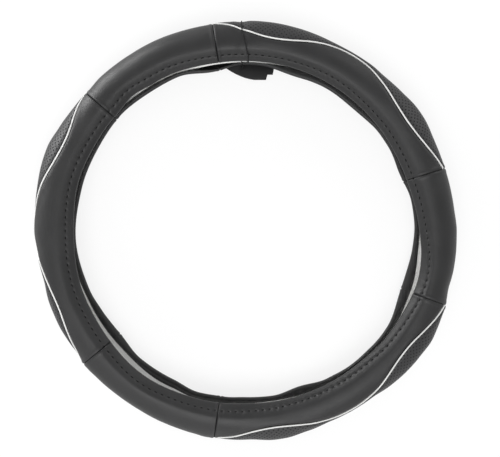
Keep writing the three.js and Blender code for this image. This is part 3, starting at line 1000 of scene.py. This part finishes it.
def ranged(tree, value, low, high, from_low=0.35, from_high=0.65, **settings):
    """A value stretched to another range."""
    inputs = {"Value": value, "From Min": from_low, "From Max": from_high}
    inputs.update({"To Min": low, "To Max": high})
    return add_node(tree, "ShaderNodeMapRange", inputs, **settings).outputs["Result"]


def mixed_colour(tree, factor, first, second):
    """A colour between two others."""
    inputs = {0: factor, 6: first, 7: second}
    return add_node(tree, "ShaderNodeMix", inputs, data_type="RGBA").outputs[2]


def grain_group():
    """Fine leather grain, creases and mottling, from a vector in metres."""
    kinds = [("Vector", "NodeSocketVector")]
    group, given = new_group("Leather grain", kinds, ["Height", "Mottle"])
    vector = given["Vector"]
    warp = noise_node(group, vector, GRAIN_WARP_CELLS, 2, "Color")
    centred = vector_node(group, "SUBTRACT", warp, (0.5, 0.5, 0.5))
    shift = vector_node(group, "SCALE", centred, Scale=GRAIN_WARP)
    cells = add_node(
        group,
        "ShaderNodeTexVoronoi",
        {"Vector": vector_node(group, "ADD", vector, shift), "Scale": GRAIN_CELLS},
        feature="DISTANCE_TO_EDGE",
    ).outputs["Distance"]
    pebble = ranged(group, cells, 0, 1, 0, GRAIN_EDGE, interpolation_type="SMOOTHSTEP")
    fine = noise_node(group, vector, GRAIN_FINE_CELLS, 3)
    height = math_node(group, "MULTIPLY_ADD", fine, GRAIN_FINE_SHARE, pebble)
    mottle = noise_node(group, vector, MOTTLE_CELLS, 4)
    add_node(group, "NodeGroupOutput", {"Height": height, "Mottle": mottle})
    return group


def hole_group():
    """Round perforations in slanting rows, from a flat map in metres."""
    kinds = [("Vector", "NodeSocketVector")]
    kinds += [(label, "NodeSocketFloat") for label in ("Pitch", "Hole")]
    group, given = new_group("Perforations", kinds, ["Mask"])
    per_pitch = math_node(group, "DIVIDE", 1.0, given["Pitch"])
    scaled = vector_node(group, "SCALE", given["Vector"], Scale=per_pitch)
    turned = add_node(
        group,
        "ShaderNodeVectorRotate",
        {"Vector": scaled, "Angle": HOLE_ROW_TURN},
        rotation_type="Z_AXIS",
    ).outputs[0]
    part = vector_node(group, "FRACTION", turned)
    centred = vector_node(group, "SUBTRACT", part, (0.5, 0.5, 0))
    away = vector_node(group, "LENGTH", centred)
    distance = math_node(group, "MULTIPLY", away, given["Pitch"])
    share = math_node(group, "DIVIDE", distance, given["Hole"])
    mask = ranged(group, share, 0, 1, *HOLE_RIM, interpolation_type="SMOOTHSTEP")
    add_node(group, "NodeGroupOutput", {"Mask": mask})
    return group


def group_node(tree, name, make, inputs):
    """The outputs of a node group, which is made once and shared by the materials."""
    group = bpy.data.node_groups.get(name) or make()
    return add_node(tree, "ShaderNodeGroup", inputs, node_tree=group).outputs


def new_material(name):
    """An empty material, ready for a shader."""
    material = bpy.data.materials.new(name)
    material.use_nodes = True
    tree = material.node_tree
    tree.nodes.clear()
    return material, tree


def object_place(tree):
    """A place on the object, in metres."""
    return add_node(tree, "ShaderNodeTexCoord").outputs["Object"]


def surface_place(tree):
    """A place on the piece's own flat map."""
    return add_node(tree, "ShaderNodeUVMap", uv_map="Surface").outputs["UV"]


def shade(tree, colour, roughness, height, depth, specular=LEATHER_GLOSS):
    """A Principled shader with its colour, gloss and bump, joined to the output."""
    inputs = {"Height": height, "Distance": depth, "Strength": 1.0}
    bump = add_node(tree, "ShaderNodeBump", inputs).outputs["Normal"]
    inputs = {"Base Color": colour, "Roughness": roughness}
    inputs.update({"Specular IOR Level": specular, "Normal": bump})
    shader = add_node(tree, "ShaderNodeBsdfPrincipled", inputs)
    add_node(tree, "ShaderNodeOutputMaterial", {"Surface": shader.outputs[0]})


def toned(tree, colour, factor, darker, lighter):
    """A colour that varies with a factor between darker and lighter shades of itself."""
    shades = [tuple(part * share for part in colour) + (1,) for share in (darker, lighter)]
    return mixed_colour(tree, factor, *shades)


def leather_material(name, colour, roughness, holes=None):
    """Black leather with fine grain, perforated where the holes' pitch and width are given; the
    holes are a shallow bump, darkened with painted shade.
    """
    material, tree = new_material(name)
    grain = group_node(tree, "Leather grain", grain_group, {"Vector": object_place(tree)})
    mottle = ranged(tree, grain["Mottle"], 0, 1)
    tone = toned(tree, colour, mottle, *LEATHER_TONES)
    height = grain["Height"]
    if holes is None:
        rough = ranged(tree, mottle, roughness - 0.03, roughness + 0.05, 0, 1)
    else:
        inputs = {"Vector": surface_place(tree), "Pitch": holes[0], "Hole": holes[1]}
        mask = group_node(tree, "Perforations", hole_group, inputs)["Mask"]
        # Painted shade darkens the holes, which are only a shallow bump
        tone = mixed_colour(tree, mask, tone, HOLE_SHADE_COLOUR)
        rough = ranged(tree, mask, roughness, HOLE_ROUGHNESS, 0, 1)
        height = math_node(tree, "MULTIPLY_ADD", mask, HOLE_DEPTH, height)
    shade(tree, tone, rough, height, GRAIN_DEPTH)
    return material


def piping_material(name, colour):
    """Silver-white piping cloth with a fine slanting weave."""
    material, tree = new_material(name)
    inputs = {"Vector": surface_place(tree), "Scale": WEAVE_SCALE}
    stretched = add_node(tree, "ShaderNodeMapping", inputs).outputs[0]
    inputs = {"Vector": stretched, "Scale": 1.0, "Distortion": 0.3}
    wave = add_node(tree, "ShaderNodeTexWave", inputs, bands_direction="DIAGONAL")
    dust = noise_node(tree, object_place(tree), DUST_CELLS, 4)
    tone = toned(tree, colour, ranged(tree, dust, 0, 1), 0.9, 1.03)
    rough = ranged(tree, dust, 0.42, 0.55)
    shade(tree, tone, rough, wave.outputs["Fac"], WEAVE_DEPTH)
    return material


def matt_material(name, colour, roughness, scale, depth, specular):
    """A matt surface with fine noise, as on rubber, cord and plastic."""
    material, tree = new_material(name)
    place = object_place(tree)
    fine = noise_node(tree, place, scale, 4)
    slow = noise_node(tree, place, 40, 3)
    tone = toned(tree, colour, ranged(tree, slow, 0, 1), 0.93, 1.05)
    rough = ranged(tree, fine, roughness - 0.05, roughness + 0.08)
    shade(tree, tone, rough, fine, depth, specular)
    return material


def finish(scene, name):
    """The material of one finish, made when it is first asked for."""
    made = bpy.data.materials.get(name)
    if made:
        return made
    colours, sewing = scene.cover_finish, scene.cover_sewing
    if name == "Smooth leather":
        return leather_material(name, colours.leather, SMOOTH_ROUGHNESS)
    if name == "Perforated leather":
        holes = (sewing.hole_pitch, sewing.hole)
        return leather_material(name, colours.perforated, PERFORATED_ROUGHNESS, holes)
    if name == "Piping cloth":
        return piping_material(name, colours.piping)
    shown, *numbers = MATT_FINISHES[name]
    return matt_material(name, getattr(colours, shown), *numbers)


class BuildInnerRing(bpy.types.Operator):
    """Build the pale ring inside the cover"""

    bl_idname = "cover.inner_ring"
    bl_label = "Inner ring"

    def execute(self, context):
        build_inner_ring(Form(context.scene), finish(context.scene, "Pale rubber"))
        return {"FINISHED"}


class BuildSmoothPanels(bpy.types.Operator):
    """Build the smooth leather panels between the grips"""

    bl_idname = "cover.smooth_panels"
    bl_label = "Smooth panels"

    def execute(self, context):
        leather = finish(context.scene, "Smooth leather")
        for name in SMOOTH_PANELS:
            build_smooth_panel(Form(context.scene), name, leather)
        return {"FINISHED"}


class BuildEdgePanels(bpy.types.Operator):
    """Build the smooth panels of the grips, from the hems to the piping"""

    bl_idname = "cover.edge_panels"
    bl_label = "Front and rear panels"

    def execute(self, context):
        leather = finish(context.scene, "Smooth leather")
        for grip, front in product(GRIPS, (True, False)):
            build_edge_panel(Form(context.scene), grip, front, leather)
        return {"FINISHED"}


class BuildGrips(bpy.types.Operator):
    """Build the padded, perforated panels"""

    bl_idname = "cover.grips"
    bl_label = "Perforated grips"

    def execute(self, context):
        leather = finish(context.scene, "Perforated leather")
        for grip in GRIPS:
            build_grip(Form(context.scene), grip, leather)
        return {"FINISHED"}


class BuildPiping(bpy.types.Operator):
    """Build the piping along both edges of the grips"""

    bl_idname = "cover.piping"
    bl_label = "Piping"

    def execute(self, context):
        cloth = finish(context.scene, "Piping cloth")
        for grip, front in product(GRIPS, (True, False)):
            build_piping(Form(context.scene), grip, front, cloth)
        return {"FINISHED"}


class BuildStitches(bpy.types.Operator):
    """Build the stitches of the front and the rear hem"""

    bl_idname = "cover.stitches"
    bl_label = "Hem stitches"

    def execute(self, context):
        thread = finish(context.scene, "Black thread")
        for front in (True, False):
            build_stitches(Form(context.scene), front, thread)
        return {"FINISHED"}


class BuildTie(bpy.types.Operator):
    """Build the tie round the top and the tab that hangs on it"""

    bl_idname = "cover.tie"
    bl_label = "Tie and tab"

    def execute(self, context):
        build_tie(Form(context.scene), finish(context.scene, "Black tie"))
        build_tab(Form(context.scene), finish(context.scene, "Black tab"))
        return {"FINISHED"}


def add_camera(studio, form):
    """A camera straight above the cover, framed as the photograph is."""
    data = bpy.data.cameras.new("Camera")
    data.sensor_width = studio.sensor
    data.lens = studio.sensor * studio.distance * studio.scale / PHOTO_WIDTH
    camera = bpy.data.objects.new("Camera", data)
    x = (PHOTO_WIDTH / 2 - RING_CENTRE_X) / studio.scale
    y = (RING_CENTRE_Y - PHOTO_HEIGHT / 2) / studio.scale
    camera.location = (x, y, studio.distance + form.centre_height)
    bpy.context.scene.collection.objects.link(camera)
    bpy.context.scene.camera = camera


def add_floor(studio):
    """A pale floor that looks white, also in glossy surfaces, but keeps the soft shadow."""
    bm = bmesh.new()
    bmesh.ops.create_grid(bm, x_segments=1, y_segments=1, size=studio.floor / 2)
    mesh = bpy.data.meshes.new("Floor")
    bm.to_mesh(mesh)
    bm.free()
    floor = bpy.data.objects.new("Floor", mesh)
    bpy.context.scene.collection.objects.link(floor)
    material, tree = new_material("Pale floor")
    light = add_node(tree, "ShaderNodeLightPath").outputs
    inputs = {"Color": tuple(studio.floor_colour) + (1,)}
    plain = add_node(tree, "ShaderNodeBsdfDiffuse", inputs).outputs[0]
    inputs = {"Color": (1, 1, 1, 1), "Strength": 1.0}
    white = add_node(tree, "ShaderNodeEmission", inputs).outputs[0]
    seen = light["Is Camera Ray"]
    for ray in ("Is Glossy Ray", "Is Transmission Ray"):
        seen = math_node(tree, "MAXIMUM", seen, light[ray])
    seen = math_node(tree, "MULTIPLY", seen, FLOOR_GLOW)
    mixed = add_node(tree, "ShaderNodeMixShader", {0: seen, 1: plain, 2: white}).outputs[0]
    add_node(tree, "ShaderNodeOutputMaterial", {"Surface": mixed})
    mesh.materials.append(material)


def add_lamp(name, power, place, size, aim):
    """A soft rectangular lamp that points at a place."""
    data = bpy.data.lights.new(name, "AREA")
    data.shape = "RECTANGLE"
    data.energy = power
    data.size, data.size_y = size
    lamp = bpy.data.objects.new(name, data)
    lamp.location = place
    lamp.rotation_euler = (Vector(aim) - Vector(place)).to_track_quat("-Z", "Y").to_euler()
    bpy.context.scene.collection.objects.link(lamp)


def light_world(strength):
    """White light from all round, and plain white where the camera looks past the floor."""
    world = bpy.data.worlds.new("Studio")
    bpy.context.scene.world = world
    world.use_nodes = True
    tree = world.node_tree
    tree.nodes.clear()
    light = add_node(tree, "ShaderNodeLightPath").outputs
    seen = ranged(tree, light["Is Camera Ray"], strength, 1.0, 0, 1)
    inputs = {"Color": (1, 1, 1, 1), "Strength": seen}
    background = add_node(tree, "ShaderNodeBackground", inputs).outputs[0]
    add_node(tree, "ShaderNodeOutputWorld", {"Surface": background})


class BuildStudio(bpy.types.Operator):
    """Set up the floor, the lamps and the camera"""

    bl_idname = "cover.studio"
    bl_label = "Studio"

    def execute(self, context):
        scene = context.scene
        studio = scene.cover_studio
        scene.view_settings.view_transform = "Standard"
        add_camera(studio, Form(scene))
        add_floor(studio)
        light_world(studio.world)
        for name, watts, place, size in LAMPS:
            add_lamp(name, getattr(studio, watts), place, size, LAMPS_AIM)
        return {"FINISHED"}


class CoverPanel(bpy.types.Panel):
    """The sizes, colours and building steps of the cover"""

    bl_idname = "VIEW3D_PT_steering_wheel_cover"
    bl_label = "Steering wheel cover"
    bl_space_type = "VIEW_3D"
    bl_region_type = "UI"
    bl_category = "Cover"

    def draw(self, context):
        layout = self.layout
        for name in GROUPS:
            box = layout.box()
            group = getattr(context.scene, name)
            for key in group.bl_rna.properties.keys():
                if key not in ("rna_type", "name"):
                    box.prop(group, key)
        for step in STEPS:
            layout.operator(step.bl_idname)


GROUPS = {
    "cover_ring": CoverRing,
    "cover_sewing": CoverSewing,
    "cover_tie": CoverTie,
    "cover_mesh": CoverMesh,
    "cover_finish": CoverFinish,
    "cover_studio": CoverStudio,
}
STEPS = (
    BuildInnerRing,
    BuildSmoothPanels,
    BuildEdgePanels,
    BuildGrips,
    BuildPiping,
    BuildStitches,
    BuildTie,
    BuildStudio,
)


def register():
    """Adds the classes, and their settings to the scene."""
    for cls in (*GROUPS.values(), *STEPS, CoverPanel):
        bpy.utils.register_class(cls)
    for name, cls in GROUPS.items():
        setattr(bpy.types.Scene, name, PointerProperty(type=cls))


def unregister():
    """Takes the settings and classes away again."""
    for name in GROUPS:
        delattr(bpy.types.Scene, name)
    for cls in (*GROUPS.values(), *STEPS, CoverPanel):
        bpy.utils.unregister_class(cls)


def main():
    """Registers the add-on and runs its steps in order."""
    register()
    bpy.ops.cover.inner_ring()
    bpy.ops.cover.smooth_panels()
    bpy.ops.cover.edge_panels()
    bpy.ops.cover.grips()
    bpy.ops.cover.piping()
    bpy.ops.cover.stitches()
    bpy.ops.cover.tie()
    bpy.ops.cover.studio()


if __name__ == "__main__":
    main()
